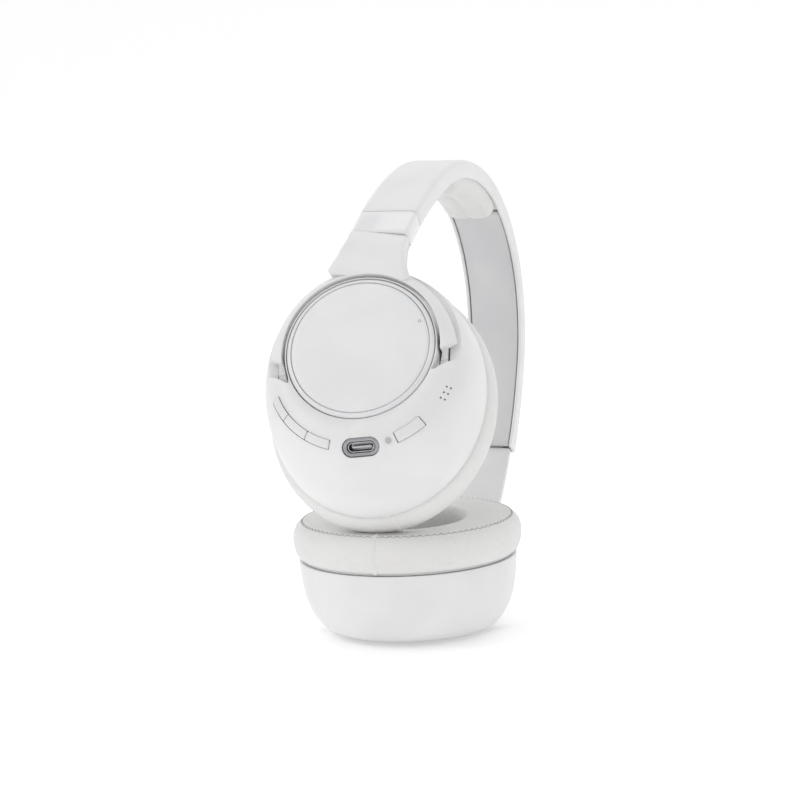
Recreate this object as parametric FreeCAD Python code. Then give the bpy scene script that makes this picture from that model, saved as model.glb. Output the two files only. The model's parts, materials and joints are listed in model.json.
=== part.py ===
import FreeCAD, Part
import math
import os

os.makedirs("parts", exist_ok=True)

V = FreeCAD.Vector
X_AXIS = V(1, 0, 0)
Y_AXIS = V(0, 1, 0)
Z_AXIS = V(0, 0, 1)

# Over-ear headphones at rest: the far cup lies on its outer face, the band arches up from it,
# and the near cup leans over it. +Z up, the cups' faces look along -Z and -Y, and the origin is the
# middle of the far cup's round face, on the ground.

# Headband: a crowned channel that follows two arcs on each side of its crown.
CROWN_RADIUS = 62.0
CROWN_ANGLE = 59.5
LEG_RADIUS = 126.0
LEG_LENGTH = 47.0
STRIP_LENGTH = 12.0
BAND_HALF_WIDTH = 10.4
BAND_DEPTH = 6.5
BAND_WALL = 1.0
CORNER = 2.6

# Slider arms run in the legs, on the leg radius.
SLIDER_TRAVEL = 40.0
TONGUE_LENGTH = 12.0
ARM_HALF_WIDTH = 9.2
ARM_OUTER = 1.2
ARM_INNER = 4.6
TONGUE_HALF_WIDTH = 6.0
TONGUE_OUTER = 2.6
TONGUE_INNER = 4.0

# Padding and trim under the band.
PANEL_HALF_WIDTH = 8.9
PANEL_OUTER = 4.9
PANEL_INNER = 6.1
PAD_START = -57.0
PAD_END = -4.0
PAD_INNER = 12.5

# Yoke: hangs from the strip, bends outwards and forks round the cup's face.
YOKE_BEND = 25.0
NECK_ROUNDING = 1.8
YOKE_DROP = 47.2
YOKE_SETBACK = 0.9
SWIVEL_DEPTH = 3.7
STEM_RADIUS = 1.5
RUNNING_GAP = 0.05
SEAM = 0.35
PIN_RADIUS = 1.2
# Both forks are canted, so that the cups lean the same way as ears do.
CANT = 12.0
# How far each fork hangs to one side of its arm.
FAR_SHIFT = -1.3
NEAR_SHIFT = -4.5

# Cup: an oval shell that domes from the seam up to the round face.
CUP_HALF_WIDTH = 37.3
CUP_HALF_LENGTH = 43.0
SEAM_DEPTH = 19.0
FACE_LEVEL = 8.0
SHELL_TOP = 6.5
SHELL_WALL = 1.8
FACE_CENTRE = 5.5
FACE_RADIUS = 25.0
FORK_RADIUS = 26.9
CUSHION_DEPTH = 33.3

# Rest pose: how far each joint already is from its neutral place.
FAR_EXTENSION = 40.0
FAR_TILT = 10.0
FAR_SWIVEL = 2.6
NEAR_SWIVEL = 7.0
NEAR_TILT = -1.0


def export(name, shape):
    shape.exportStep("parts/" + name + ".step")


def turn_x(angle, y=0.0, z=0.0):
    """A placement that turns about an X-wise axis through (y, z)."""
    return FreeCAD.Placement(V(0, 0, 0), FreeCAD.Rotation(X_AXIS, angle), V(0, y, z))


def moved(shape, placement):
    out = shape.copy()
    out.Placement = placement.multiply(out.Placement)
    return out


def prism(face, low, high):
    """Extrudes a face drawn in (x, z) between two levels along Y."""
    solid = face.extrude(V(0, 0, high - low))
    solid.translate(V(0, 0, -high))
    solid.rotate(V(0, 0, 0), X_AXIS, 90)
    return solid


def polygon(points):
    return Part.Face(Part.makePolygon([V(x, z, 0) for x, z in points + points[:1]]))


def ellipse_wire(half_x, half_z, centre_z, level):
    """An ellipse in the plane y = level."""
    long_way = V(0, level, centre_z + half_z)
    short_way = V(half_x, level, centre_z)
    curve = Part.Ellipse(long_way, short_way, V(0, level, centre_z))
    return Part.Wire(curve.toShape())


def ellipse_prism(half_x, half_z, centre_z, low, high):
    face = Part.Face(ellipse_wire(half_x, half_z, centre_z, low))
    return face.extrude(V(0, high - low, 0))


def disc(radius, low, high, x=0.0, z=0.0):
    return Part.makeCylinder(radius, high - low, V(x, low, z), Y_AXIS)


def box(x0, x1, y0, y1, z0, z1):
    return Part.makeBox(x1 - x0, y1 - y0, z1 - z0, V(x0, y0, z0))


# ---- Band geometry: angles are measured from the crown, radii from each arc's centre. ----

LEG_Y = (CROWN_RADIUS - LEG_RADIUS) * math.sin(math.radians(CROWN_ANGLE))
LEG_Z = -CROWN_RADIUS + (CROWN_RADIUS - LEG_RADIUS) * math.cos(math.radians(CROWN_ANGLE))
ANGLE_PER_MM = math.degrees(1.0 / LEG_RADIUS)
SEAM_ANGLE = CROWN_ANGLE + LEG_LENGTH * ANGLE_PER_MM
COVER_ANGLE = CROWN_ANGLE + (LEG_LENGTH - STRIP_LENGTH) * ANGLE_PER_MM


def sweep(section, radius, centre_y, centre_z, start, end):
    """Turns a section drawn as (x, depth below the outer surface) about an arc's centre."""
    points = [V(x, centre_y, centre_z + radius - depth) for x, depth in section]
    face = Part.Face(Part.makePolygon(points + points[:1]))
    centre = V(0, centre_y, centre_z)
    face.rotate(centre, X_AXIS, -start)
    return face.revolve(centre, X_AXIS, start - end)


def crown_sweep(section, start, end):
    return sweep(section, CROWN_RADIUS, 0.0, -CROWN_RADIUS, start, end)


def leg_sweep(section, start, end):
    return sweep(section, LEG_RADIUS, LEG_Y, LEG_Z, start, end)


def slab(half_width, outer, inner):
    return [(-half_width, outer), (half_width, outer), (half_width, inner), (-half_width, inner)]


def crowned(half_width, outer, inner):
    """A slab whose outer corners are rounded in five steps."""
    steps = [math.radians(18 * k) for k in range(6)]
    right = []
    for a in steps:
        x = half_width - CORNER + CORNER * math.sin(a)
        depth = outer + 0.6 * CORNER * (1 - math.cos(a))
        right.append((x, depth))
    left = [(-x, depth) for x, depth in reversed(right)]
    return left + right + [(half_width, inner), (-half_width, inner)]


def mirrored(shape):
    return shape.mirror(V(0, 0, 0), Y_AXIS)


cover_outside = crowned(BAND_HALF_WIDTH, 0.0, BAND_DEPTH)
cover_inside = crowned(BAND_HALF_WIDTH - BAND_WALL, BAND_WALL, BAND_DEPTH + 1.0)


def channel(sweeper, start, end):
    return sweeper(cover_outside, start, end).cut(sweeper(cover_inside, start, end))


leg_cover = channel(leg_sweep, CROWN_ANGLE, COVER_ANGLE)
cover = channel(crown_sweep, -CROWN_ANGLE, CROWN_ANGLE)
cover = cover.fuse([leg_cover, mirrored(leg_cover)]).removeSplitter()

CROWN_PER_MM = math.degrees(1.0 / CROWN_RADIUS)
FRAME_ANGLE = 38.0
inner_frame = crown_sweep(slab(8.0, 2.4, 3.9), -FRAME_ANGLE, FRAME_ANGLE)
spring_steel = crown_sweep(slab(5.5, 1.3, 2.1), -FRAME_ANGLE + 2, FRAME_ANGLE - 2)
band_cable = crown_sweep(slab(3.0, 4.1, 4.6), -FRAME_ANGLE + 1, FRAME_ANGLE - 1)
pad_from = PAD_START * CROWN_PER_MM
pad_to = PAD_END * CROWN_PER_MM
head_pad = crown_sweep(slab(9.0, PANEL_OUTER, PAD_INNER), pad_from, pad_to)


def panel_section():
    return slab(PANEL_HALF_WIDTH, PANEL_OUTER, PANEL_INNER)


leg_panel = leg_sweep(panel_section(), CROWN_ANGLE, COVER_ANGLE - 0.3)
far_panel = leg_panel.fuse(crown_sweep(panel_section(), pad_to + 0.5, CROWN_ANGLE))
near_panel = mirrored(leg_panel).fuse(crown_sweep(panel_section(), -CROWN_ANGLE, pad_from - 0.5))

# ---- Slider side: built retracted, at the far end of the band. ----

wide_start = COVER_ANGLE - SLIDER_TRAVEL * ANGLE_PER_MM
tongue_start = wide_start - TONGUE_LENGTH * ANGLE_PER_MM
strip_start = COVER_ANGLE + SEAM * ANGLE_PER_MM
arm = leg_sweep(crowned(ARM_HALF_WIDTH, ARM_OUTER, ARM_INNER), wide_start, COVER_ANGLE)
arm = arm.fuse(leg_sweep(slab(TONGUE_HALF_WIDTH, TONGUE_OUTER, TONGUE_INNER), tongue_start, wide_start))
end_block = leg_sweep(slab(9.2, 1.5, 6.3), COVER_ANGLE, SEAM_ANGLE)
strip = leg_sweep(cover_outside, strip_start, SEAM_ANGLE)
strip = strip.cut(leg_sweep(slab(9.2, 1.5, 8.0), strip_start, SEAM_ANGLE))

# The stem frame sits on the seam under the strip: Z runs up the arm and Y points outwards.
stem_y = LEG_Y + (LEG_RADIUS - SWIVEL_DEPTH) * math.sin(math.radians(SEAM_ANGLE))
stem_z = LEG_Z + (LEG_RADIUS - SWIVEL_DEPTH) * math.cos(math.radians(SEAM_ANGLE))
stem_frame = FreeCAD.Placement(V(0, stem_y, stem_z), FreeCAD.Rotation(X_AXIS, 90 - SEAM_ANGLE))
STEM_TOP = 8.0
stem_bore = Part.makeCylinder(STEM_RADIUS + RUNNING_GAP, STEM_TOP + 3.0, V(0, 0, -1.0), Z_AXIS)
end_block = end_block.cut(moved(stem_bore, stem_frame))

# ---- Cup: origin on the tilt axis, Y outwards, Z towards the band. ----

DOME = [
    (-SEAM_DEPTH, CUP_HALF_WIDTH, CUP_HALF_LENGTH, -1.5),
    (-11.5, 36.7, 42.0, -1.2),
    (-5.0, 35.4, 40.0, -0.6),
    (0.5, 33.2, 37.0, 0.4),
    (4.4, 30.4, 33.4, 1.6),
    (SHELL_TOP, 27.6, 29.8, 3.0),
]


def dome(inset, top_inset=0.0):
    """The shell's outer form, or the same form set in from it."""
    wires = []
    for level, half_x, half_z, centre in DOME:
        wires.append(ellipse_wire(half_x - inset, half_z - inset, centre, level - top_inset))
    return Part.makeLoft(wires, True, False)


def above_slope(level, slope):
    """Everything on the outer side of a plane that sinks towards the band."""
    reach = 60.0
    profile = [(level + slope * reach, -reach), (60.0, -reach), (60.0, reach), (level - slope * reach, reach)]
    points = [V(-60.0, y, z) for y, z in profile]
    face = Part.Face(Part.makePolygon(points + points[:1]))
    return face.extrude(V(120.0, 0, 0))


TILT_SLOPE = 0.20
FORK_FLOOR = 2.4
POCKET_FLOOR = 2.0
cup_body = dome(0.0)
cavity = dome(SHELL_WALL, 0.0).cut(above_slope(POCKET_FLOOR - SHELL_WALL, TILT_SLOPE))

# Bosses for the tilt pins, and the pockets that the fork's ears turn in.
EAR_INNER = 26.0
EAR_THICKNESS = 2.6
EAR_RADIUS = 2.8
PIN_START = 21.8
BOSS_X = 23.6
bosses = [box(side * BOSS_X - 2.2, side * BOSS_X + 2.2, -7.0, 2.0, -6.0, 6.0) for side in (-1, 1)]
cavity = cavity.cut(bosses)

POST_X = 22.0
POST_Z = 27.5
post_places = [(sx * POST_X, sz * POST_Z - 1.5) for sx in (-1, 1) for sz in (-1, 1)]
posts = [disc(2.6, -16.9, -4.0, x, z) for x, z in post_places]
shell = cup_body.cut(cavity).fuse([post.common(cup_body) for post in posts])

notch = [(25.0, -4.5), (40.0, 5.0), (40.0, 60.0), (-40.0, 60.0), (-40.0, 5.0), (-25.0, -4.5)]
fork_region = prism(polygon(notch), -30.0, 30.0).cut(disc(FORK_RADIUS - 1.2, -30.0, 30.0, 0.0, FACE_CENTRE))
pocket = fork_region.common(above_slope(POCKET_FLOOR, TILT_SLOPE))
ear_pockets = []
for side in (-1, 1):
    edges = sorted((side * (EAR_INNER - 0.4), side * (EAR_INNER + EAR_THICKNESS + 0.5)))
    ear_pockets.append(box(edges[0], edges[1], -EAR_RADIUS - 0.6, EAR_RADIUS + 0.6, -EAR_RADIUS - 0.6, 12.0))
shell = shell.cut([pocket] + ear_pockets)
shell = shell.cut(disc(FACE_RADIUS + 0.4, 4.4, 20.0, 0.0, FACE_CENTRE))
pin_bore = Part.makeCylinder(PIN_RADIUS + RUNNING_GAP, 58.0, V(-29.0, 0, 0), X_AXIS)
shell = shell.cut(pin_bore)
screw_bores = [disc(0.8, -17.0, -8.5, x, z) for x, z in post_places]
shell = shell.cut(screw_bores)

face_disc = disc(FACE_RADIUS - 1.6, 4.5, FACE_LEVEL, 0.0, FACE_CENTRE)
face_disc = face_disc.makeFillet(1.4, [e for e in face_disc.Edges if abs(e.BoundBox.YMin - FACE_LEVEL) < 0.01])
face_ring = disc(FACE_RADIUS, 4.5, FACE_LEVEL - 0.6, 0.0, FACE_CENTRE)
face_ring = face_ring.makeChamfer(0.9, [e for e in face_ring.Edges if abs(e.BoundBox.YMin - FACE_LEVEL + 0.6) < 0.01])
face_ring = face_ring.cut(disc(FACE_RADIUS - 1.5, 0.0, 20.0, 0.0, FACE_CENTRE))

baffle = ellipse_prism(CUP_HALF_WIDTH - 2.2, CUP_HALF_LENGTH - 2.2, -1.5, -SEAM_DEPTH, -17.2)
DRIVER_RADIUS = 20.0
baffle = baffle.cut(disc(DRIVER_RADIUS - 2.0, -40.0, 0.0))
baffle = baffle.cut([disc(0.85, -30.0, 0.0, x, z) for x, z in post_places])
screw_set = [disc(0.78, -18.9, -9.0, x, z) for x, z in post_places]
driver_basket = disc(DRIVER_RADIUS, -17.1, -9.0).cut(disc(DRIVER_RADIUS - 1.2, -17.2, -10.0))
driver_basket = driver_basket.cut(disc(9.6, -12.0, -8.0))
driver_magnet = disc(9.5, -12.5, -6.2)
diaphragm = disc(17.4, -16.6, -16.2).fuse(disc(8.0, -16.2, -15.4))

plate = ellipse_prism(CUP_HALF_WIDTH - 1.2, CUP_HALF_LENGTH - 1.2, -1.5, -20.4, -19.1)
plate = plate.cut(ellipse_prism(20.6, 26.6, -1.5, -30.0, 0.0))
scrim = ellipse_prism(20.2, 26.2, -1.5, -20.2, -19.7)
cushion = ellipse_prism(CUP_HALF_WIDTH - 0.3, CUP_HALF_LENGTH - 0.3, -1.5, -CUSHION_DEPTH, -20.5)
cushion = cushion.makeFillet(6.0, [e for e in cushion.Edges if abs(e.BoundBox.YMax + CUSHION_DEPTH) < 0.01])
EAR_HALF_WIDTH = 18.5
EAR_HALF_LENGTH = 24.5
cushion = cushion.cut(ellipse_prism(EAR_HALF_WIDTH, EAR_HALF_LENGTH, -1.5, -60.0, 0.0))

# ---- Yoke: built in the cup's frame with no tilt. ----

yoke_edge = [(26.0, 2.5), (40.0, 10.5), (40.0, 60.0), (-40.0, 60.0), (-40.0, 10.5), (-26.0, 2.5)]
yoke_plate = dome(0.0).common(prism(polygon(yoke_edge), FORK_FLOOR, 30.0))
neck_outline = [(-10.4, 60.0), (-10.4, 44.0), (-12.0, 37.5), (-15.4, 30.0)]
neck_outline = neck_outline + [(-x, z) for x, z in reversed(neck_outline)]
neck_plan = prism(polygon(neck_outline), -20.0, 20.0)
# The neck's side profile, from the seam under the strip down to the plate.
bend = math.radians(YOKE_BEND)
seam_at = V(0, YOKE_SETBACK, YOKE_DROP)


def seam_point(depth, drop):
    """A point on the seam's end face: depth below the outer surface, drop below the seam."""
    out = SWIVEL_DEPTH - depth
    y = seam_at.y + out * math.cos(bend) + drop * math.sin(bend)
    z = seam_at.z + out * math.sin(bend) - drop * math.cos(bend)
    return V(-40.0, y, z)


top_outer = seam_point(0.2, SEAM)
top_inner = seam_point(5.0, SEAM)
bulge = V(-40.0, SHELL_TOP + 0.7, 39.5)
foot_outer = V(-40.0, SHELL_TOP - 0.1, 31.0)
foot_inner = V(-40.0, FORK_FLOOR + 0.3, 31.0)
heel_inner = V(-40.0, FORK_FLOOR + 0.6, 38.5)
neck_profile = Part.Wire([
    Part.Arc(top_outer, bulge, foot_outer).toShape(),
    Part.makeLine(foot_outer, foot_inner),
    Part.makeLine(foot_inner, heel_inner),
    Part.makeLine(heel_inner, top_inner),
    Part.makeLine(top_inner, top_outer),
])
neck = Part.Face(neck_profile).extrude(V(80.0, 0, 0)).common(neck_plan)
long_edges = [e for e in neck.Edges if abs(e.CenterOfMass.x) > 9.0 and e.CenterOfMass.y > 4.0 and e.Length < 20.0]
neck = neck.makeFillet(NECK_ROUNDING, long_edges)
ears = []
for side in (-1, 1):
    edges = sorted((side * EAR_INNER, side * (EAR_INNER + EAR_THICKNESS)))
    tab = Part.makeCylinder(EAR_RADIUS, EAR_THICKNESS, V(edges[0], 0, 0), X_AXIS)
    ears.append(tab.fuse(box(edges[0], edges[1], -0.5, FORK_FLOOR + 0.6, 0.0, 10.0)))
fork = yoke_plate.fuse(ears)
face_hole = disc(FORK_RADIUS, -30.0, 30.0, 0.0, FACE_CENTRE)
pin_hole = Part.makeCylinder(PIN_RADIUS, 80.0, V(-40.0, 0, 0), X_AXIS)


def canted(angle):
    """Turns the fork and the cup in their own plane, about the tilt axis's middle."""
    return FreeCAD.Placement(V(0, 0, 0), FreeCAD.Rotation(Y_AXIS, angle))


# The swivel stem and the collar at its top, in the stem frame turned into the yoke's frame.
to_yoke = FreeCAD.Placement(seam_at, FreeCAD.Rotation(X_AXIS, YOKE_BEND))
stem = Part.makeCylinder(STEM_RADIUS, STEM_TOP + 6.0, V(0, 0, -6.0), Z_AXIS)
stem = moved(stem, to_yoke)


def fork_place(cant, shift):
    """Where a fork and its cup sit in their yoke's frame."""
    return FreeCAD.Placement(V(shift, 0, 0), FreeCAD.Rotation()).multiply(canted(cant))


def make_yoke(place):
    whole = neck.fuse(moved(fork, place))
    return whole.cut([moved(face_hole, place), moved(pin_hole, place), stem]).removeSplitter()


pivot_pins = []
for side in (-1, 1):
    start = min(side * PIN_START, side * (EAR_INNER + EAR_THICKNESS))
    pin = Part.makeCylinder(PIN_RADIUS, EAR_INNER + EAR_THICKNESS - PIN_START, V(start, 0, 0), X_AXIS)
    pivot_pins.append(pin)

# ---- Controls on the near cup's slope, set on a ring round the face. ----

RING_RADIUS = 31.0
RING_Z = 1.5


def ring_sector(inner, outer, start, end, low, high):
    """A piece of a ring between two angles, counted from +X towards the band."""
    sector = Part.makeCylinder(outer, high - low, V(0, 0, 0), Z_AXIS, end - start)
    sector = sector.cut(Part.makeCylinder(inner, high - low, V(0, 0, 0), Z_AXIS))
    sector.rotate(V(0, 0, 0), Z_AXIS, start)
    sector.rotate(V(0, 0, 0), X_AXIS, 90)
    sector.translate(V(0, high, RING_Z))
    return sector


KEY_DEPTH = 3.0
KEY_PROUD = 0.45
proud_form = dome(-0.3, -KEY_PROUD)
KEYS = {
    "volume_up_key": (-34.8, -20.0),
    "play_key": (-53.4, -35.4),
    "volume_down_key": (-70.0, -54.0),
    "mode_key": (-131.0, -112.5),
}
key_solids = {}
for key_name, (first, last) in KEYS.items():
    half = 1.25 if key_name != "mode_key" else 1.5
    sector = ring_sector(RING_RADIUS - half, RING_RADIUS + half, first, last, -KEY_DEPTH, 20.0)
    key_solids[key_name] = sector.common(proud_form)
rocker_slot = ring_sector(RING_RADIUS - 1.45, RING_RADIUS + 1.45, -70.5, -19.5, -10.0, 20.0)
mode_slot = ring_sector(RING_RADIUS - 1.7, RING_RADIUS + 1.7, -131.5, -112.0, -10.0, 20.0)


def on_ring(angle, radius=RING_RADIUS):
    return radius * math.cos(math.radians(angle)), RING_Z + radius * math.sin(math.radians(angle))


PORT_ANGLE = -90.0
PORT_LEAN = 30.0
port_x, port_z = on_ring(PORT_ANGLE, 30.4)


def port_block(half_width, half_height, depth, top):
    """A stadium-shaped plug that points out along the port's axis."""
    middle = box(-half_width + half_height, half_width - half_height, -depth, top, -half_height, half_height)
    ends = []
    for side in (-1, 1):
        centre = side * (half_width - half_height)
        ends.append(Part.makeCylinder(half_height, depth + top, V(centre, -depth, 0), Y_AXIS))
    block = middle.fuse(ends).removeSplitter()
    block.rotate(V(0, 0, 0), X_AXIS, -PORT_LEAN)
    block.rotate(V(0, 0, 0), Y_AXIS, -(PORT_ANGLE + 90.0))
    block.translate(V(port_x, 4.3, port_z))
    return block


port_bezel = port_block(6.2, 3.1, 1.0, 0.55).cut(port_block(4.75, 1.85, 5.0, 5.0))
receptacle = port_block(4.47, 1.63, 6.2, 0.0).cut(port_block(4.17, 1.33, 5.2, 1.0))
receptacle = receptacle.fuse(port_block(3.3, 0.35, 5.4, -1.0))
led_x, led_z = on_ring(-107.5)
light_pipe = disc(0.8, 0.5, 20.0, led_x, led_z).common(proud_form)
near_shell = shell.cut([rocker_slot, mode_slot, port_block(6.3, 3.2, 1.1, 8.0), port_block(4.6, 1.76, 7.5, 8.0)])
near_shell = near_shell.cut(disc(0.85, -10.0, 20.0, led_x, led_z))
MIC_ANGLE = -157.5
mic_holes = []
for column in range(2):
    for row in range(3):
        x, z = on_ring(MIC_ANGLE + 4.0 * row - 0.5 * column, RING_RADIUS + 1.1 * column - 0.2)
        mic_holes.append(disc(0.35, -10.0, 20.0, x, z))
near_shell = near_shell.cut(mic_holes)
mic_x, mic_z = on_ring(MIC_ANGLE + 4.0, 24.0)
microphones = disc(2.0, -7.0, -5.2, mic_x, mic_z)
main_board = box(-15.0, 15.0, -6.2, -5.0, -31.0, -12.0)
switches = []
for first, last in KEYS.values():
    x, z = on_ring((first + last) / 2)
    switches.append(disc(0.9, -4.7, -3.85, x, z))
battery = box(-11.0, 11.0, -5.6, -0.6, -30.0, -12.0)

# ---- Places ----

slide_far = turn_x(-FAR_EXTENSION * ANGLE_PER_MM, LEG_Y, LEG_Z)
half_turn = FreeCAD.Placement(V(0, 0, 0), FreeCAD.Rotation(Z_AXIS, 180))


def yoke_place(slider_place, swivel):
    turn = FreeCAD.Placement(V(0, 0, 0), FreeCAD.Rotation(Z_AXIS, swivel))
    return slider_place.multiply(stem_frame).multiply(turn).multiply(to_yoke.inverse())


far_yoke = yoke_place(slide_far, FAR_SWIVEL)
near_yoke = yoke_place(half_turn, NEAR_SWIVEL)
far_fork = fork_place(-CANT, FAR_SHIFT)
near_fork = fork_place(CANT, NEAR_SHIFT)
far_cup = far_yoke.multiply(far_fork).multiply(turn_x(-FAR_TILT))
near_cup = near_yoke.multiply(near_fork).multiply(turn_x(-NEAR_TILT))

# The far cup's round face lies on the ground, centred on the origin, and the band rises along +Y.
face_down = FreeCAD.Placement(V(0, 0, FACE_LEVEL), FreeCAD.Rotation(X_AXIS, -90))
face_middle = FreeCAD.Placement(V(0, 0, -FACE_CENTRE), FreeCAD.Rotation())
ground = face_down.multiply(canted(-CANT)).multiply(face_middle)
world = ground.multiply(far_cup.inverse())

WORLD_BODIES = {
    "headband": (world, {
        "headband_cover": cover,
        "headband_inner_frame": inner_frame,
        "headband_spring_strip": spring_steel,
        "headband_cable": band_cable,
        "head_cushion": head_pad,
        "inner_panel_far": far_panel,
        "inner_panel_near": near_panel,
    }),
    "slider_far": (world.multiply(slide_far), {
        "slider_arm_far": arm,
        "slider_end_block_far": end_block,
        "gloss_strip_far": strip,
    }),
    "slider_near": (world.multiply(half_turn), {
        "slider_arm_near": arm,
        "slider_end_block_near": end_block,
        "gloss_strip_near": strip,
    }),
}
CUP_PARTS = {
    "face_disc": face_disc,
    "face_ring": face_ring,
    "baffle": baffle,
    "baffle_screws": Part.makeCompound(screw_set),
    "driver_basket": driver_basket,
    "driver_magnet": driver_magnet,
    "diaphragm": diaphragm,
    "cushion_plate": plate,
    "ear_scrim": scrim,
    "ear_cushion": cushion,
}
NEAR_EXTRAS = {
    "cup_shell_near": near_shell,
    "usb_port_bezel": port_bezel,
    "usb_receptacle": receptacle,
    "light_pipe": light_pipe,
    "microphone": microphones,
    "main_board": main_board,
    "key_switches": Part.makeCompound(switches),
}

for place, nodes in WORLD_BODIES.values():
    for name, shape in nodes.items():
        export(name, moved(shape, place))
sides = (("far", far_yoke, far_cup, far_fork), ("near", near_yoke, near_cup, near_fork))
for end, yoke_at, cup_at, fork_at in sides:
    yoke_at = world.multiply(yoke_at)
    cup_at = world.multiply(cup_at)
    export("yoke_" + end, moved(make_yoke(fork_at), yoke_at))
    export("swivel_stem_" + end, moved(stem, yoke_at))
    export("tilt_pins_" + end, moved(Part.makeCompound(pivot_pins), yoke_at.multiply(fork_at)))
    for name, shape in CUP_PARTS.items():
        export(name + "_" + end, moved(shape, cup_at))
    if end == "far":
        export("cup_shell_far", moved(shell, cup_at))
        export("battery", moved(battery, cup_at))
    else:
        for name, shape in list(NEAR_EXTRAS.items()) + list(key_solids.items()):
            export(name, moved(shape, cup_at))
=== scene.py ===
import json
import math

import bmesh
import bpy
from mathutils import Matrix, Vector


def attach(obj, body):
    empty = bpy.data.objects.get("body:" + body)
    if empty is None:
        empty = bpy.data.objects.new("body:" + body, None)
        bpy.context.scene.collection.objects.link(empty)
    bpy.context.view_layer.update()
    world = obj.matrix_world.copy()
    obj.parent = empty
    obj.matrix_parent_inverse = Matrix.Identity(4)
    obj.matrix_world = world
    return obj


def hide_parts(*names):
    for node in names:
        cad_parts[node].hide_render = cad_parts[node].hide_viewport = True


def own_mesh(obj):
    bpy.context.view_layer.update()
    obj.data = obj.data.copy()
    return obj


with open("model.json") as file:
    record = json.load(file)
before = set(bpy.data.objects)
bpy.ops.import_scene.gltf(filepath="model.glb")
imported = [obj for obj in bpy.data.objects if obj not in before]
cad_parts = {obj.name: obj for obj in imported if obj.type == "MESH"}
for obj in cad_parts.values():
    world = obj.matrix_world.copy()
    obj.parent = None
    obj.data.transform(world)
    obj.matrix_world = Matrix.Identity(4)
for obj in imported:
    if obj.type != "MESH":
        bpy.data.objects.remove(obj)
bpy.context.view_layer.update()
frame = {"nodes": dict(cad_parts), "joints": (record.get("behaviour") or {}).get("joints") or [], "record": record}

MM = 0.001
NODES = frame["nodes"]
JOINTS = {joint["name"]: joint for joint in frame["joints"]}
SLOT_OF = {entry["node"]: entry["material_slot"] for entry in frame["record"]["subparts"]}
SCENE = bpy.context.scene

# Real sizes that the visual pieces share with the CAD, in millimetres.
CUSHION_OUTER = (37.0, 42.7)
CUSHION_INNER = (18.7, 24.7)
CUSHION_CENTRE = -1.5
CUSHION_BASE = 20.6
CROWN_RADIUS = 62.0
CROWN_DROP = 94.48
PAD_SPAN = (-52.7, -3.7)


# ---------------------------------------------------------------- frames

def basis(x_axis, y_axis, origin):
    """A frame in metres whose local units are millimetres."""
    x_axis, y_axis = x_axis.normalized(), y_axis.normalized()
    matrix = Matrix((x_axis, y_axis, x_axis.cross(y_axis))).transposed().to_4x4()
    matrix.translation = origin
    return matrix @ Matrix.Scale(MM, 4)


def joint_vector(name, key):
    return Vector(JOINTS[name][key])


FACE_DOWN = Vector(frame["record"]["mounts"][0]["axis"])
CUP = {
    "far": basis(joint_vector("tilt_far", "axis"), FACE_DOWN, joint_vector("tilt_far", "pos_m")),
    "near": basis(
        joint_vector("tilt_near", "axis"),
        -joint_vector("press_play_key", "axis"),
        joint_vector("tilt_near", "pos_m"),
    ),
}
band_y = joint_vector("extend_near", "pos_m") - joint_vector("extend_far", "pos_m")
band_x = -joint_vector("extend_far", "axis")
band_middle = (joint_vector("extend_near", "pos_m") + joint_vector("extend_far", "pos_m")) / 2
BAND = basis(band_x, band_y, band_middle) @ Matrix.Translation((0, 0, CROWN_DROP))


# ---------------------------------------------------------------- node tree helpers

def link(tree, source, target):
    tree.links.new(source, target)


def add(tree, kind, **settings):
    node = tree.nodes.new(kind)
    for key, value in settings.items():
        if key == "inputs":
            for name, setting in value.items():
                node.inputs[name].default_value = setting
        else:
            setattr(node, key, value)
    return node


def math_node(tree, operation, first, second=None, clamp=False):
    node = add(tree, "ShaderNodeMath", operation=operation, use_clamp=clamp)
    for index, value in enumerate((first, second)):
        if value is None:
            continue
        if isinstance(value, (int, float)):
            node.inputs[index].default_value = value
        else:
            link(tree, value, node.inputs[index])
    return node.outputs[0]


def ramp(tree, source, low, high, from_value=0.0, to_value=1.0):
    node = add(tree, "ShaderNodeMapRange", interpolation_type="SMOOTHSTEP")
    node.inputs["From Min"].default_value = low
    node.inputs["From Max"].default_value = high
    node.inputs["To Min"].default_value = from_value
    node.inputs["To Max"].default_value = to_value
    link(tree, source, node.inputs["Value"])
    return node.outputs["Result"]


def noise(tree, vector, scale, detail=3.0, roughness=0.55):
    node = add(tree, "ShaderNodeTexNoise", inputs={"Scale": scale, "Detail": detail, "Roughness": roughness})
    link(tree, vector, node.inputs["Vector"])
    return node.outputs["Fac"]


def new_group(name, inputs, outputs):
    tree = bpy.data.node_groups.new(name, "ShaderNodeTree")
    for label, kind, default in inputs:
        socket = tree.interface.new_socket(label, in_out="INPUT", socket_type=kind)
        if default is not None:
            socket.default_value = default
    for label, kind in outputs:
        tree.interface.new_socket(label, in_out="OUTPUT", socket_type=kind)
    return tree, tree.nodes.new("NodeGroupInput"), tree.nodes.new("NodeGroupOutput")


FLOAT, VECTOR, COLOR = "NodeSocketFloat", "NodeSocketVector", "NodeSocketColor"


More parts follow.
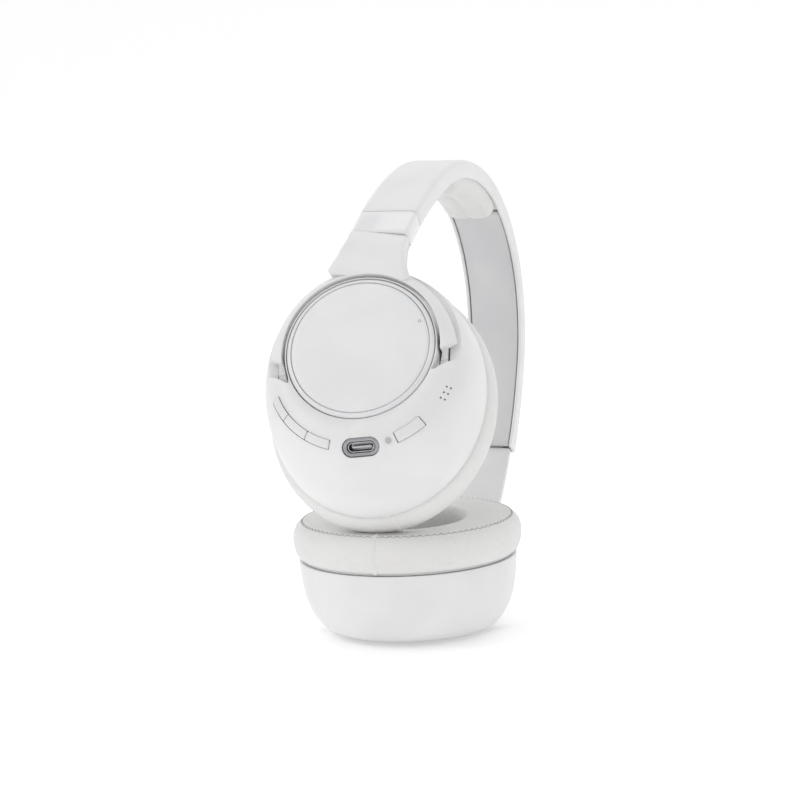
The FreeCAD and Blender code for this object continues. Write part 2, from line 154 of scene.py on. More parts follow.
def moulded_group():
    """Moulded plastic: faint flow variation, a fine satin texture and dust-like specks in the roughness."""
    tree, given, out = new_group(
        "MouldedPlastic",
        [("Vector", VECTOR, None), ("Base", COLOR, (0.8, 0.8, 0.8, 1)), ("Roughness", FLOAT, 0.35),
         ("Texture", FLOAT, 1.0), ("Wear", FLOAT, 0.5)],
        [("Color", COLOR), ("Roughness", FLOAT), ("Height", FLOAT)],
    )
    vector = given.outputs["Vector"]
    flow = noise(tree, vector, 45.0, 2.0)
    fine = noise(tree, vector, 2600.0, 1.0)
    specks = noise(tree, vector, 900.0, 4.0, 0.7)
    geometry = add(tree, "ShaderNodeNewGeometry")
    edge = ramp(tree, geometry.outputs["Pointiness"], 0.52, 0.60)
    worn = math_node(tree, "MULTIPLY", edge, ramp(tree, specks, 0.42, 0.62))
    worn = math_node(tree, "MULTIPLY", worn, given.outputs["Wear"])
    tint = add(tree, "ShaderNodeMix", data_type="RGBA", blend_type="MULTIPLY")
    link(tree, given.outputs["Base"], tint.inputs["A"])
    tint.inputs["B"].default_value = (0.955, 0.955, 0.96, 1)
    link(tree, ramp(tree, flow, 0.35, 0.7), tint.inputs["Factor"])
    rubbed = add(tree, "ShaderNodeMix", data_type="RGBA", blend_type="MULTIPLY")
    link(tree, tint.outputs["Result"], rubbed.inputs["A"])
    rubbed.inputs["B"].default_value = (0.93, 0.925, 0.91, 1)
    link(tree, worn, rubbed.inputs["Factor"])
    link(tree, rubbed.outputs["Result"], out.inputs["Color"])
    shift = math_node(tree, "MULTIPLY", math_node(tree, "SUBTRACT", flow, 0.5), 0.16)
    speckled = math_node(tree, "MULTIPLY", math_node(tree, "SUBTRACT", specks, 0.5), 0.08)
    shift = math_node(tree, "ADD", shift, speckled)
    shift = math_node(tree, "SUBTRACT", shift, math_node(tree, "MULTIPLY", worn, 0.08))
    link(tree, math_node(tree, "ADD", shift, given.outputs["Roughness"], True), out.inputs["Roughness"])
    link(tree, math_node(tree, "MULTIPLY", fine, given.outputs["Texture"]), out.inputs["Height"])
    return tree


def leatherette_group():
    """Fine-grained leatherette: pebbles, shallow creases and slightly polished tops, with painted shade darkening
    the colour in the valleys and creases.
    """
    tree, given, out = new_group(
        "Leatherette",
        [("Vector", VECTOR, None), ("Base", COLOR, (0.8, 0.8, 0.78, 1)), ("Grain", FLOAT, 1.0),
         ("Crease", FLOAT, 1.0)],
        [("Color", COLOR), ("Roughness", FLOAT), ("Height", FLOAT), ("Crease", FLOAT)],
    )
    vector = given.outputs["Vector"]
    warp = add(tree, "ShaderNodeTexNoise", inputs={"Scale": 500.0, "Detail": 2.0})
    link(tree, vector, warp.inputs["Vector"])
    scaled = add(tree, "ShaderNodeVectorMath", operation="SCALE")
    link(tree, warp.outputs["Color"], scaled.inputs[0])
    scaled.inputs["Scale"].default_value = 0.0012
    bent = add(tree, "ShaderNodeVectorMath", operation="ADD")
    link(tree, vector, bent.inputs[0])
    link(tree, scaled.outputs["Vector"], bent.inputs[1])
    pebble = add(tree, "ShaderNodeTexVoronoi", feature="DISTANCE_TO_EDGE", inputs={"Scale": 1250.0})
    link(tree, bent.outputs["Vector"], pebble.inputs["Vector"])
    raised = ramp(tree, pebble.outputs["Distance"], 0.0, 0.22)
    creases = add(tree, "ShaderNodeTexVoronoi", feature="DISTANCE_TO_EDGE", inputs={"Scale": 230.0})
    link(tree, bent.outputs["Vector"], creases.inputs["Vector"])
    crease = ramp(tree, creases.outputs["Distance"], 0.0, 0.10, 1.0, 0.0)
    crease = math_node(tree, "MULTIPLY", crease, ramp(tree, noise(tree, vector, 120.0), 0.45, 0.65))
    height = math_node(tree, "MULTIPLY", raised, given.outputs["Grain"])
    crease_depth = math_node(tree, "MULTIPLY", crease, given.outputs["Crease"])
    height = math_node(tree, "SUBTRACT", height, crease_depth)
    broad = noise(tree, vector, 30.0, 2.0)
    tint = add(tree, "ShaderNodeMix", data_type="RGBA", blend_type="MULTIPLY")
    link(tree, given.outputs["Base"], tint.inputs["A"])
    tint.inputs["B"].default_value = (0.93, 0.925, 0.915, 1)
    # Painted shade: the colour darkens in the pebble valleys and in the creases, on top of a broad random tone.
    valley = math_node(tree, "SUBTRACT", 1.0, raised)
    valley_painted_shade = math_node(tree, "MULTIPLY", valley, 0.35)
    tone_and_painted_shade = math_node(tree, "ADD", valley_painted_shade, ramp(tree, broad, 0.4, 0.8, 0.0, 0.4))
    crease_painted_shade = math_node(tree, "MULTIPLY", crease, 0.5)
    link(tree, math_node(tree, "ADD", tone_and_painted_shade, crease_painted_shade, True), tint.inputs["Factor"])
    link(tree, tint.outputs["Result"], out.inputs["Color"])
    dull = math_node(tree, "MULTIPLY", valley, 0.18)
    rough = math_node(tree, "ADD", dull, ramp(tree, broad, 0.3, 0.8, 0.40, 0.52))
    link(tree, rough, out.inputs["Roughness"])
    link(tree, height, out.inputs["Height"])
    link(tree, crease, out.inputs["Crease"])
    return tree


def brushed_group():
    """Brushed metal: fine lines along X, in colour and roughness."""
    tree, given, out = new_group(
        "BrushedMetal",
        [("Vector", VECTOR, None), ("Base", COLOR, (0.6, 0.6, 0.6, 1)), ("Roughness", FLOAT, 0.3)],
        [("Color", COLOR), ("Roughness", FLOAT), ("Height", FLOAT)],
    )
    stretch = add(tree, "ShaderNodeMapping")
    stretch.inputs["Scale"].default_value = (1.0, 14.0, 14.0)
    link(tree, given.outputs["Vector"], stretch.inputs["Vector"])
    lines = noise(tree, stretch.outputs["Vector"], 420.0, 4.0, 0.65)
    tint = add(tree, "ShaderNodeMix", data_type="RGBA", blend_type="MULTIPLY")
    link(tree, given.outputs["Base"], tint.inputs["A"])
    tint.inputs["B"].default_value = (0.8, 0.8, 0.8, 1)
    link(tree, ramp(tree, lines, 0.3, 0.7), tint.inputs["Factor"])
    link(tree, tint.outputs["Result"], out.inputs["Color"])
    shift = math_node(tree, "MULTIPLY", math_node(tree, "SUBTRACT", lines, 0.5), 0.3)
    link(tree, math_node(tree, "ADD", shift, given.outputs["Roughness"], True), out.inputs["Roughness"])
    link(tree, lines, out.inputs["Height"])
    return tree


def weave_group():
    """A fine plain weave, as threads over and under."""
    tree, given, out = new_group(
        "Weave",
        [("Vector", VECTOR, None), ("Pitch", FLOAT, 1400.0)],
        [("Height", FLOAT), ("Gap", FLOAT)],
    )
    parts = add(tree, "ShaderNodeSeparateXYZ")
    link(tree, given.outputs["Vector"], parts.inputs["Vector"])
    across = math_node(tree, "ADD", parts.outputs["Y"], parts.outputs["Z"])
    waves = []
    for source in (parts.outputs["X"], across):
        phase = math_node(tree, "MULTIPLY", source, given.outputs["Pitch"])
        wave = math_node(tree, "SINE", math_node(tree, "MULTIPLY", phase, math.pi))
        waves.append(math_node(tree, "ABSOLUTE", wave))
    height = math_node(tree, "MAXIMUM", waves[0], waves[1])
    link(tree, height, out.inputs["Height"])
    link(tree, ramp(tree, height, 0.15, 0.55, 1.0, 0.0), out.inputs["Gap"])
    return tree


MOULDED = moulded_group()
LEATHERETTE = leatherette_group()
BRUSHED = brushed_group()
WEAVE = weave_group()


def start_material(name, strength, distance):
    """A Principled material with a bump already joined, and its parts."""
    material = bpy.data.materials.new(name)
    material.use_nodes = True
    tree = material.node_tree
    tree.nodes.clear()
    shader = add(tree, "ShaderNodeBsdfPrincipled")
    output = add(tree, "ShaderNodeOutputMaterial")
    link(tree, shader.outputs["BSDF"], output.inputs["Surface"])
    place = add(tree, "ShaderNodeTexCoord")
    bump = add(tree, "ShaderNodeBump", inputs={"Strength": strength, "Distance": distance})
    link(tree, bump.outputs["Normal"], shader.inputs["Normal"])
    return material, tree, shader, place.outputs["Object"], bump


def use_group(tree, group, vector, **values):
    node = add(tree, "ShaderNodeGroup", node_tree=group)
    link(tree, vector, node.inputs["Vector"])
    for key, value in values.items():
        node.inputs[key].default_value = value
    return node


def finish_with(tree, node, shader, bump, settings):
    for key in ("Color", "Roughness"):
        target = "Base Color" if key == "Color" else key
        link(tree, node.outputs[key], shader.inputs[target])
    link(tree, node.outputs["Height"], bump.inputs["Height"])
    for key, value in settings.items():
        shader.inputs[key].default_value = value


def plastic(name, colour, roughness, texture=1.0, wear=0.5, strength=0.12, **settings):
    material, tree, shader, place, bump = start_material(name, strength, 0.00008)
    node = use_group(tree, MOULDED, place, Base=(*colour, 1), Roughness=roughness, Texture=texture, Wear=wear)
    finish_with(tree, node, shader, bump, settings)
    return material


def leatherette(name, colour, grain=1.0, crease=1.0):
    material, tree, shader, place, bump = start_material(name, 0.55, 0.00012)
    node = use_group(tree, LEATHERETTE, place, Base=(*colour, 1), Grain=grain, Crease=crease)
    settings = {"Sheen Weight": 0.12, "Sheen Roughness": 0.4, "Specular IOR Level": 0.42}
    finish_with(tree, node, shader, bump, settings)
    return material


def metal(name, colour, roughness, **settings):
    material, tree, shader, place, bump = start_material(name, 0.1, 0.00005)
    node = use_group(tree, BRUSHED, place, Base=(*colour, 1), Roughness=roughness)
    finish_with(tree, node, shader, bump, {"Metallic": 1.0, **settings})
    return material


def woven(name, colour, dark):
    material, tree, shader, place, bump = start_material(name, 0.6, 0.0002)
    node = use_group(tree, WEAVE, place)
    mix = add(tree, "ShaderNodeMix", data_type="RGBA")
    mix.inputs["A"].default_value = (*colour, 1)
    mix.inputs["B"].default_value = (*dark, 1)
    link(tree, node.outputs["Gap"], mix.inputs["Factor"])
    link(tree, mix.outputs["Result"], shader.inputs["Base Color"])
    link(tree, node.outputs["Height"], bump.inputs["Height"])
    rough = noise(tree, place, 700.0)
    link(tree, ramp(tree, rough, 0.3, 0.7, 0.7, 0.9), shader.inputs["Roughness"])
    shader.inputs["Sheen Weight"].default_value = 0.3
    return material


MATERIALS = {
    "white_shell": plastic("white_shell", (0.80, 0.80, 0.80), 0.34, 1.0, 0.5),
    "satin_face": plastic("satin_face", (0.80, 0.80, 0.805), 0.42, 1.4, 0.4),
    "face_trim": plastic("face_trim", (0.78, 0.78, 0.79), 0.22, 0.3, 0.4, **{"Coat Weight": 0.3}),
    "white_gloss": plastic("white_gloss", (0.80, 0.80, 0.81), 0.10, 0.1, 0.3, **{"Coat Weight": 0.6}),
    "arm_plastic": plastic("arm_plastic", (0.77, 0.77, 0.775), 0.40, 1.2, 0.5),
    "leatherette": leatherette("leatherette", (0.80, 0.797, 0.79)),
    "panel_plastic": plastic("panel_plastic", (0.66, 0.66, 0.67), 0.46, 1.2, 0.3),
    "scrim_fabric": woven("scrim_fabric", (0.32, 0.32, 0.33), (0.05, 0.05, 0.05)),
    "key_plastic": plastic("key_plastic", (0.77, 0.77, 0.775), 0.36, 1.2, 0.5),
    "grey_metal": metal("grey_metal", (0.42, 0.42, 0.44), 0.34),
    "steel": metal("steel", (0.55, 0.55, 0.56), 0.28),
    "magnet": metal("magnet", (0.62, 0.62, 0.63), 0.22),
    "light_pipe": plastic("light_pipe", (0.72, 0.72, 0.72), 0.12, 0.1, 0.1, **{"Transmission Weight": 0.3}),
    "board": plastic("board", (0.03, 0.16, 0.07), 0.4, 1.0, 0.0),
    "wire_jacket": plastic("wire_jacket", (0.03, 0.03, 0.03), 0.5, 0.5, 0.0),
    "battery_wrap": plastic("battery_wrap", (0.12, 0.16, 0.26), 0.25, 0.2, 0.0),
    "small_metal": metal("small_metal", (0.6, 0.6, 0.61), 0.3),
    "diaphragm_film": plastic("diaphragm_film", (0.35, 0.33, 0.28), 0.2, 0.1, 0.0),
    "inner_plastic": plastic("inner_plastic", (0.10, 0.10, 0.105), 0.5, 1.0, 0.0),
}
# The narrow band of the cushion plate that shows between shell and cushion is white, like the arms.
FINISH_OF = dict(SLOT_OF, cushion_plate_far="arm_plastic", cushion_plate_near="arm_plastic")
THREAD = plastic("thread", (0.36, 0.36, 0.37), 0.6, 2.0, 0.0, 0.4)


# ---------------------------------------------------------------- the CAD pieces

def dress(node, width=0.25, angle=28.0):
    """Gives a CAD piece its finish, soft corners and smooth curves."""
    piece = NODES[node]
    piece.data.materials.clear()
    piece.data.materials.append(MATERIALS[FINISH_OF[node]])
    for face in piece.data.polygons:
        face.use_smooth = True
    weld = piece.modifiers.new("Weld", "WELD")
    weld.merge_threshold = 0.000001
    soften = piece.modifiers.new("Corners", "BEVEL")
    soften.limit_method = "ANGLE"
    soften.angle_limit = math.radians(angle)
    soften.width = width * MM
    soften.segments = 2
    soften.harden_normals = True


for node in NODES:
    dress(node)


# ---------------------------------------------------------------- soft pieces

def mesh_piece(name, vertices, faces, matrix, material):
    mesh = bpy.data.meshes.new(name)
    mesh.from_pydata([matrix @ Vector(v) for v in vertices], [], faces)
    mesh.validate()
    for face in mesh.polygons:
        face.use_smooth = True
    mesh.materials.append(material)
    piece = bpy.data.objects.new(name, mesh)
    SCENE.collection.objects.link(piece)
    return piece


def apply_all(piece):
    """Replaces a piece's mesh with the mesh its modifiers make."""
    graph = bpy.context.evaluated_depsgraph_get()
    result = bpy.data.meshes.new_from_object(piece.evaluated_get(graph))
    piece.modifiers.clear()
    piece.data = result
    return piece


# Each row is one ring of the ear cushion: the share of the way from the outer oval to the ear hollow,
# the level below the tilt axis, and how firmly the ring is held.
CUSHION_PROFILE = [
    (0.06, -19.7, 1.0), (0.0, -19.9, 1.0), (-0.06, -21.2, 0.2), (-0.10, -23.2, 0.0), (-0.12, -25.6, 0.0),
    (-0.12, -28.0, 0.0), (-0.08, -30.2, 0.0), (-0.01, -31.7, 0.7), (0.05, -32.2, 1.0), (0.09, -32.7, 0.7),
    (0.17, -33.3, 0.0), (0.28, -33.6, 0.0), (0.40, -33.7, 0.0), (0.52, -33.7, 0.0), (0.64, -33.5, 0.0),
    (0.76, -33.1, 0.0), (0.86, -32.4, 0.3), (0.92, -31.6, 0.9), (0.97, -30.2, 0.2), (1.0, -28.2, 0.0),
    (1.0, -25.8, 0.0), (1.0, -23.4, 0.0), (1.0, -21.2, 1.0), (0.94, -20.7, 1.0), (0.7, -20.7, 1.0),
    (0.4, -20.7, 1.0), (0.12, -20.7, 1.0), (0.08, -20.2, 1.0),
]
CUSHION_STEPS = 240
CUSHION_PRESSURE = 60.0
STITCH_ROW = 8
STITCH_PITCH = 1.25
STITCH_LIFT = 0.02
CLOTH_FRAMES = 20
JOIN_ANGLES = (math.radians(-98.0), math.radians(82.0))
JOIN_DEPTH = 0.55
JOIN_WIDTH = 0.55
SIDE_BAND_OVAL = (33.0, 38.5)
SIDE_BAND_END = -33.0
MEAN_RADIUS = 40.0


def oval(share, angle):
    half_x = CUSHION_OUTER[0] + share * (CUSHION_INNER[0] - CUSHION_OUTER[0])
    half_z = CUSHION_OUTER[1] + share * (CUSHION_INNER[1] - CUSHION_OUTER[1])
    return half_x * math.cos(angle), half_z * math.sin(angle) + CUSHION_CENTRE


def inflate(piece, firmness, pressure, most):
    """Lets the cloth solver move a cover between its held points, by no more than the given distance."""
    held = piece.vertex_groups.new(name="held")
    for index, firm in enumerate(firmness):
        if firm > 0:
            held.add([index], firm, "REPLACE")
    before = [v.co.copy() for v in piece.data.vertices]
    cloth = piece.modifiers.new("Cloth", "CLOTH")
    cloth.settings.vertex_group_mass = "held"
    cloth.settings.use_pressure = True
    cloth.settings.uniform_pressure_force = pressure
    cloth.settings.effector_weights.gravity = 0.0
    cloth.settings.quality = 6
    cloth.settings.mass = 0.15
    cloth.settings.tension_stiffness = 12.0
    cloth.settings.compression_stiffness = 12.0
    cloth.settings.shear_stiffness = 6.0
    cloth.settings.bending_stiffness = 0.3
    cloth.collision_settings.use_collision = False
    cloth.point_cache.frame_start = 1
    cloth.point_cache.frame_end = CLOTH_FRAMES
    for number in range(1, CLOTH_FRAMES + 1):
        SCENE.frame_set(number)
    apply_all(piece)
    SCENE.frame_set(1)
    for vertex, start in zip(piece.data.vertices, before):
        step = vertex.co - start
        if step.length > most:
            vertex.co = start + step * (most / step.length)


def smooth_once(piece):
    """One subdivision, applied."""
    subdivide = piece.modifiers.new("Subdivision", "SUBSURF")
    subdivide.levels = 1
    subdivide.render_levels = 1
    apply_all(piece)
    for face in piece.data.polygons:
        face.use_smooth = True


def press_grooves(piece, matrix, depth_at):
    """Moves each point against its normal by the depth, in millimetres, that depth_at gives there."""
    inverse = matrix.inverted()
    normals = [v.normal.copy() for v in piece.data.vertices]
    for vertex, normal in zip(piece.data.vertices, normals):
        depth = depth_at(inverse @ vertex.co)
        if depth > 0:
            vertex.co -= normal * depth * MM


def cushion_groove(place):
    """Depth of the two sewn joins across the side band of an ear cushion."""
    angle = math.atan2((place.z - CUSHION_CENTRE) / CUSHION_OUTER[1], place.x / CUSHION_OUTER[0])
    depth = 0.0
    across, along = place.x / SIDE_BAND_OVAL[0], (place.z - CUSHION_CENTRE) / SIDE_BAND_OVAL[1]
    if place.y > SIDE_BAND_END and math.hypot(across, along) > 1.0:
        for join in JOIN_ANGLES:
            gap = abs((angle - join + math.pi) % math.tau - math.pi) * MEAN_RADIUS
            depth += JOIN_DEPTH * math.exp(-(gap / JOIN_WIDTH) ** 2)
    return depth



def thread_tree():
    """Geometry nodes: zigzag stitches along a line of points."""
    tree = bpy.data.node_groups.new("SewnStitches", "GeometryNodeTree")
    for label, kind, default in (
        ("Geometry", "NodeSocketGeometry", None),
        ("Half Width", "NodeSocketFloat", 0.0004),
        ("Thread Radius", "NodeSocketFloat", 0.00016),
        ("Stitch Length", "NodeSocketFloat", 0.0014),
        ("Seed", "NodeSocketInt", 7),
        ("Material", "NodeSocketMaterial", None),
    ):
        socket = tree.interface.new_socket(label, in_out="INPUT", socket_type=kind)
        if default is not None:
            socket.default_value = default
    tree.interface.new_socket("Geometry", in_out="OUTPUT", socket_type="NodeSocketGeometry")
    given, out = tree.nodes.new("NodeGroupInput"), tree.nodes.new("NodeGroupOutput")
    index = add(tree, "GeometryNodeInputIndex")
    odd = math_node(tree, "MODULO", index.outputs[0], 2.0)
    side = math_node(tree, "SUBTRACT", math_node(tree, "MULTIPLY", odd, 2.0), 1.0)
    across = add(tree, "GeometryNodeInputNamedAttribute", data_type="FLOAT_VECTOR")
    across.inputs["Name"].default_value = "across"
    offset = add(tree, "ShaderNodeVectorMath", operation="SCALE")
    link(tree, across.outputs["Attribute"], offset.inputs[0])
    link(tree, math_node(tree, "MULTIPLY", side, given.outputs["Half Width"]), offset.inputs["Scale"])
    place = add(tree, "GeometryNodeSetPosition")
    link(tree, given.outputs["Geometry"], place.inputs["Geometry"])
    link(tree, offset.outputs["Vector"], place.inputs["Offset"])
    ends = add(tree, "GeometryNodeInputMeshEdgeVertices")
    along = add(tree, "ShaderNodeVectorMath", operation="SUBTRACT")
    link(tree, ends.outputs["Position 2"], along.inputs[0])
    link(tree, ends.outputs["Position 1"], along.inputs[1])
    store = add(tree, "GeometryNodeStoreNamedAttribute", data_type="FLOAT_VECTOR", domain="EDGE")
    store.inputs["Name"].default_value = "along"
    link(tree, place.outputs["Geometry"], store.inputs["Geometry"])
    link(tree, along.outputs["Vector"], store.inputs["Value"])
    points = add(tree, "GeometryNodeMeshToPoints", mode="EDGES")
    link(tree, store.outputs["Geometry"], points.inputs["Mesh"])
    heading = add(tree, "GeometryNodeInputNamedAttribute", data_type="FLOAT_VECTOR")
    heading.inputs["Name"].default_value = "along"
    aim = add(tree, "FunctionNodeAlignEulerToVector", axis="Z")
    link(tree, heading.outputs["Attribute"], aim.inputs["Vector"])
    stitch = add(tree, "GeometryNodeMeshCylinder")
    stitch.inputs["Vertices"].default_value = 6
    link(tree, given.outputs["Thread Radius"], stitch.inputs["Radius"])
    link(tree, given.outputs["Stitch Length"], stitch.inputs["Depth"])
    vary = add(tree, "FunctionNodeRandomValue", data_type="FLOAT")
    vary.inputs[2].default_value = 0.88
    vary.inputs[3].default_value = 1.08
    link(tree, given.outputs["Seed"], vary.inputs["Seed"])
    spread = add(tree, "GeometryNodeInstanceOnPoints")
    link(tree, points.outputs["Points"], spread.inputs["Points"])
    link(tree, stitch.outputs["Mesh"], spread.inputs["Instance"])
    link(tree, aim.outputs["Rotation"], spread.inputs["Rotation"])
    link(tree, vary.outputs[1], spread.inputs["Scale"])
    real = add(tree, "GeometryNodeRealizeInstances")
    link(tree, spread.outputs["Instances"], real.inputs["Geometry"])
    finish = add(tree, "GeometryNodeSetMaterial")
    link(tree, real.outputs["Geometry"], finish.inputs["Geometry"])
    link(tree, given.outputs["Material"], finish.inputs["Material"])
    link(tree, finish.outputs["Geometry"], out.inputs["Geometry"])
    return tree


STITCHES = thread_tree()


def sew(name, path, across, body, material):
    """Turns a closed path of points, each with its own across direction, into stitches on a body."""
    mesh = bpy.data.meshes.new(name)
    edges = [(i, i + 1) for i in range(len(path) - 1)] + [(len(path) - 1, 0)]
    mesh.from_pydata(path, edges, [])
    attribute = mesh.attributes.new("across", "FLOAT_VECTOR", "POINT")
    for index, direction in enumerate(across):
        attribute.data[index].vector = direction
    piece = bpy.data.objects.new(name, mesh)
    SCENE.collection.objects.link(piece)
    modifier = piece.modifiers.new("Stitches", "NODES")
    modifier.node_group = STITCHES
    for item in STITCHES.interface.items_tree:
        if item.in_out == "INPUT" and item.name == "Material":
            modifier[item.identifier] = material
    apply_all(piece)
    for extra in ("across", "along"):
        if extra in piece.data.attributes:
            piece.data.attributes.remove(piece.data.attributes[extra])
    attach(piece, body)
    return piece


def even_path(points, pitch):
    """Points at an even pitch, and an even number of them, round a closed loop."""
    loop = points + points[:1]
    lengths = [(b - a).length for a, b in zip(loop, loop[1:])]
    total = sum(lengths)
    count = 2 * round(total / pitch / 2)
    result, walked, index = [], 0.0, 0
    for number in range(count):
        goal = total * number / count
        while walked + lengths[index] < goal:
            walked += lengths[index]
            index += 1
        result.append(loop[index].lerp(loop[index + 1], (goal - walked) / lengths[index]))
    return result


def make_cushion(end):
    """An ear cushion on its cup, with its seam of stitches."""
    vertices, firmness = [], []
    for share, level, firm in CUSHION_PROFILE:
        for step in range(CUSHION_STEPS):
            x, z = oval(share, math.tau * step / CUSHION_STEPS)
            vertices.append((x, level, z))
            firmness.append(firm)
    count = len(CUSHION_PROFILE)
    faces = []
    for row in range(count):
        a, b = row * CUSHION_STEPS, (row + 1) % count * CUSHION_STEPS
        for step in range(CUSHION_STEPS):
            after = (step + 1) % CUSHION_STEPS
            faces.append((a + step, b + step, b + after, a + after))
    piece = mesh_piece("ear_cushion_cover_" + end, vertices, faces, CUP[end], MATERIALS["leatherette"])
    inflate(piece, firmness, CUSHION_PRESSURE, 0.9 * MM)
    ring = [piece.data.vertices[STITCH_ROW * CUSHION_STEPS + k].co.copy() for k in range(CUSHION_STEPS)]
    smooth_once(piece)
    press_grooves(piece, CUP[end], cushion_groove)
    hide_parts("ear_cushion_" + end)
    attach(piece, "cup_" + end)
    centre = CUP[end] @ Vector((0, CUSHION_BASE * -1.35, CUSHION_CENTRE))
    inwards = (CUP[end].to_3x3() @ Vector((0, -1, 0))).normalized()
    path = even_path(ring, STITCH_PITCH * MM)
    across, lifted = [], []
    for point in path:
        outwards = point - centre
        outwards -= inwards * outwards.dot(inwards)
        outwards.normalize()
        across.append((inwards - outwards).normalized())
        lifted.append(point + (inwards + outwards).normalized() * STITCH_LIFT * MM)
    stitches = sew("ear_cushion_stitches_" + end, lifted, across, "cup_" + end, THREAD)
    for soft in (piece, stitches):
        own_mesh(soft)


for end in ("far", "near"):
    make_cushion(end)

# The head cushion, on the crown's arc. Lengths run along the arc from the pad's middle.
PAD_MIDDLE = math.radians(sum(PAD_SPAN) / 2)
PAD_HALF_LENGTH = math.radians(PAD_SPAN[1] - PAD_SPAN[0]) / 2 * CROWN_RADIUS
PAD_HALF_WIDTH = 9.3
PAD_ROOT = 5.3
PAD_SWELL = 7.0
PAD_COLUMNS = 36
PAD_ROWS = 110
PAD_BACK = 0.4


def on_crown(x, along, depth):
    """A point of the head cushion, from its place across, along and below the crown's arc."""
    angle = PAD_MIDDLE + along / CROWN_RADIUS
    radius = CROWN_RADIUS - depth
    return x, radius * math.sin(angle), -CROWN_RADIUS + radius * math.cos(angle)


def pad_height(across, along):
    """Thickness of the head cushion, from 0 to 1, with a groove down its middle."""
    edge = abs(across) ** 5 + abs(along) ** 9
    body = max(0.0, 1.0 - edge) ** 0.42
    return body * (1.0 - 0.10 * math.exp(-(across * PAD_HALF_WIDTH / 1.1) ** 2))


def make_head_cushion():
    """The cushion under the crown: a swollen front sheet and a plain back, joined round their edge."""
    vertices, firmness = [], []
    width = PAD_COLUMNS + 1
    for back in (False, True):
        for row in range(PAD_ROWS + 1):
            along = -1.0 + 2.0 * row / PAD_ROWS
            along = math.sin(along * math.pi / 2)
            for column in range(width):
                across = math.sin((-1.0 + 2.0 * column / PAD_COLUMNS) * math.pi / 2)
                height = 0.0 if back else pad_height(across, along)
                depth = PAD_ROOT - PAD_BACK if back else PAD_ROOT + PAD_SWELL * height
                vertices.append(on_crown(across * PAD_HALF_WIDTH, along * PAD_HALF_LENGTH, depth))
                edge = min(column, PAD_COLUMNS - column, row, PAD_ROWS - row) == 0
                middle = abs(column - PAD_COLUMNS / 2) < 1
                firmness.append(1.0 if back or edge else 0.9 if middle else 0.0)
    half = width * (PAD_ROWS + 1)
    faces = []
    for row in range(PAD_ROWS):
        for column in range(PAD_COLUMNS):
            a = row * width + column
            faces.append((a, a + 1, a + width + 1, a + width))
            faces.append((half + a, half + a + width, half + a + width + 1, half + a + 1))
    for row in range(PAD_ROWS):
        for column, flip in ((0, False), (PAD_COLUMNS, True)):
            a, b = row * width + column, (row + 1) * width + column
            side = (a, b, half + b, half + a)
            faces.append(side[::-1] if flip else side)
    for column in range(PAD_COLUMNS):
        for row, flip in ((0, True), (PAD_ROWS, False)):
            a, b = row * width + column, row * width + column + 1
            side = (a, b, half + b, half + a)
            faces.append(side[::-1] if flip else side)
    piece = mesh_piece("head_cushion_cover", vertices, faces, BAND, MATERIALS["leatherette"])
    turn_outwards(piece)
    inflate(piece, firmness, CUSHION_PRESSURE, 0.5 * MM)
    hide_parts("head_cushion")
    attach(piece, "headband")


def make_face_hole():
    """The dark rim of the small round hole near the edge of the near cup's face."""
    angle = math.radians(161.0)
    inverse = CUP["near"].inverted()
    places = [inverse @ v.co for v in NODES["face_disc_near"].data.vertices]
    level = max(p.y for p in places) + 0.01
    middle = (max(p.z for p in places) + min(p.z for p in places)) / 2
    reach = (max(p.x for p in places) - min(p.x for p in places)) / 2 * 0.92
    centre = (reach * math.cos(angle), level, middle + reach * math.sin(angle))
    rings = ((0.50, -0.3), (0.50, 0.0), (0.36, 0.0), (0.34, -0.3))
    steps = 24
    vertices = []
    for radius, sink in rings:
        for step in range(steps):
            turn = math.tau * step / steps
            x, z = centre[0] + radius * math.cos(turn), centre[2] + radius * math.sin(turn)
            vertices.append((x, centre[1] + sink, z))
    faces = []
    for row in range(len(rings)):
        a, b = steps * row, steps * ((row + 1) % len(rings))
        for k in range(steps):
            after = (k + 1) % steps
            faces.append((a + k, a + after, b + after, b + k))
    piece = mesh_piece("face_hole_near", vertices, faces, CUP["near"], MATERIALS["inner_plastic"])
    turn_outwards(piece)
    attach(piece, "cup_near")


def turn_outwards(piece):
    """Makes the faces of a closed piece point outwards."""
    edit = bmesh.new()
    edit.from_mesh(piece.data)
    bmesh.ops.recalc_face_normals(edit, faces=edit.faces)
    edit.to_mesh(piece.data)
    edit.free()


make_head_cushion()
make_face_hole()


# ---------------------------------------------------------------- studio

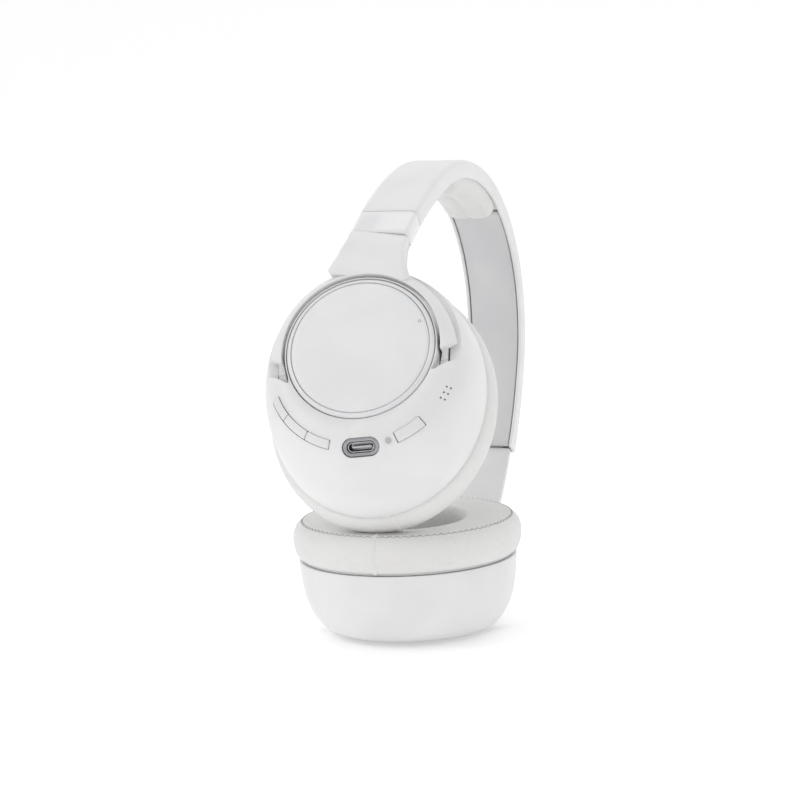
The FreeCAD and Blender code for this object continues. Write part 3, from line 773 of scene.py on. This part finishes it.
def make_stage():
    """A pale floor that curves up into a backdrop."""
    front, bend_start, bend_radius, top, half_width, steps = -4.0, 1.2, 1.6, 6.0, 6.0, 32
    profile = [(front, 0.0), (bend_start, 0.0)]
    for step in range(1, steps + 1):
        bend = math.pi / 2 * step / steps
        y = bend_start + bend_radius * math.sin(bend)
        profile.append((y, bend_radius - bend_radius * math.cos(bend)))
    profile.append((bend_start + bend_radius, top))
    vertices = [(side, y, z) for y, z in profile for side in (-half_width, half_width)]
    faces = [(2 * k, 2 * k + 1, 2 * k + 3, 2 * k + 2) for k in range(len(profile) - 1)]
    floor = mesh_piece("floor", vertices, faces, Matrix.Identity(4), None)
    floor.data.materials.clear()
    material, tree, shader, place, bump = start_material("studio_floor", 0.02, 0.0002)
    shade = noise(tree, place, 3.0)
    mix = add(tree, "ShaderNodeMix", data_type="RGBA")
    mix.inputs["A"].default_value = (0.96, 0.96, 0.96, 1)
    mix.inputs["B"].default_value = (0.945, 0.945, 0.95, 1)
    link(tree, shade, mix.inputs["Factor"])
    link(tree, mix.outputs["Result"], shader.inputs["Base Color"])
    link(tree, shade, bump.inputs["Height"])
    shader.inputs["Roughness"].default_value = 0.6
    shader.inputs["Emission Color"].default_value = (1, 1, 1, 1)
    shader.inputs["Emission Strength"].default_value = 0.22
    floor.data.materials.append(material)


def area_light(name, place, size, power, aim=(0, 0, 0.08)):
    lamp = bpy.data.lights.new(name, "AREA")
    lamp.shape = "RECTANGLE"
    lamp.size, lamp.size_y = size
    lamp.energy = power
    holder = bpy.data.objects.new(name, lamp)
    holder.location = place
    holder.rotation_euler = (Vector(aim) - Vector(place)).to_track_quat("-Z", "Y").to_euler()
    SCENE.collection.objects.link(holder)


def make_lights():
    world = bpy.data.worlds.new("studio")
    world.use_nodes = True
    back = world.node_tree.nodes["Background"]
    back.inputs["Color"].default_value = (1.0, 1.0, 1.0, 1)
    back.inputs["Strength"].default_value = 0.72
    SCENE.world = world
    area_light("key", (-0.75, -0.85, 1.0), (0.7, 0.7), 3.4)
    area_light("side", (1.0, -0.3, 0.5), (0.4, 0.9), 0.5)
    area_light("top", (0.0, 0.25, 1.2), (0.9, 0.6), 1.2)


def make_camera():
    turn, rise, roll = math.radians(20.3), math.radians(7.2), math.radians(-2.1)
    target = Vector((0.0040, -0.0164, 0.0818))
    away = Vector((math.sin(turn) * math.cos(rise), -math.cos(turn) * math.cos(rise), math.sin(rise)))
    data = bpy.data.cameras.new("camera")
    data.sensor_width = 36.0
    data.lens = 132.7
    camera = bpy.data.objects.new("camera", data)
    look = (-away).to_track_quat("-Z", "Y").to_matrix().to_4x4()
    camera.matrix_world = Matrix.Translation(target + away) @ look @ Matrix.Rotation(roll, 4, "Z")
    SCENE.collection.objects.link(camera)
    SCENE.camera = camera


make_stage()
make_lights()
make_camera()
SCENE.view_settings.view_transform = "Standard"
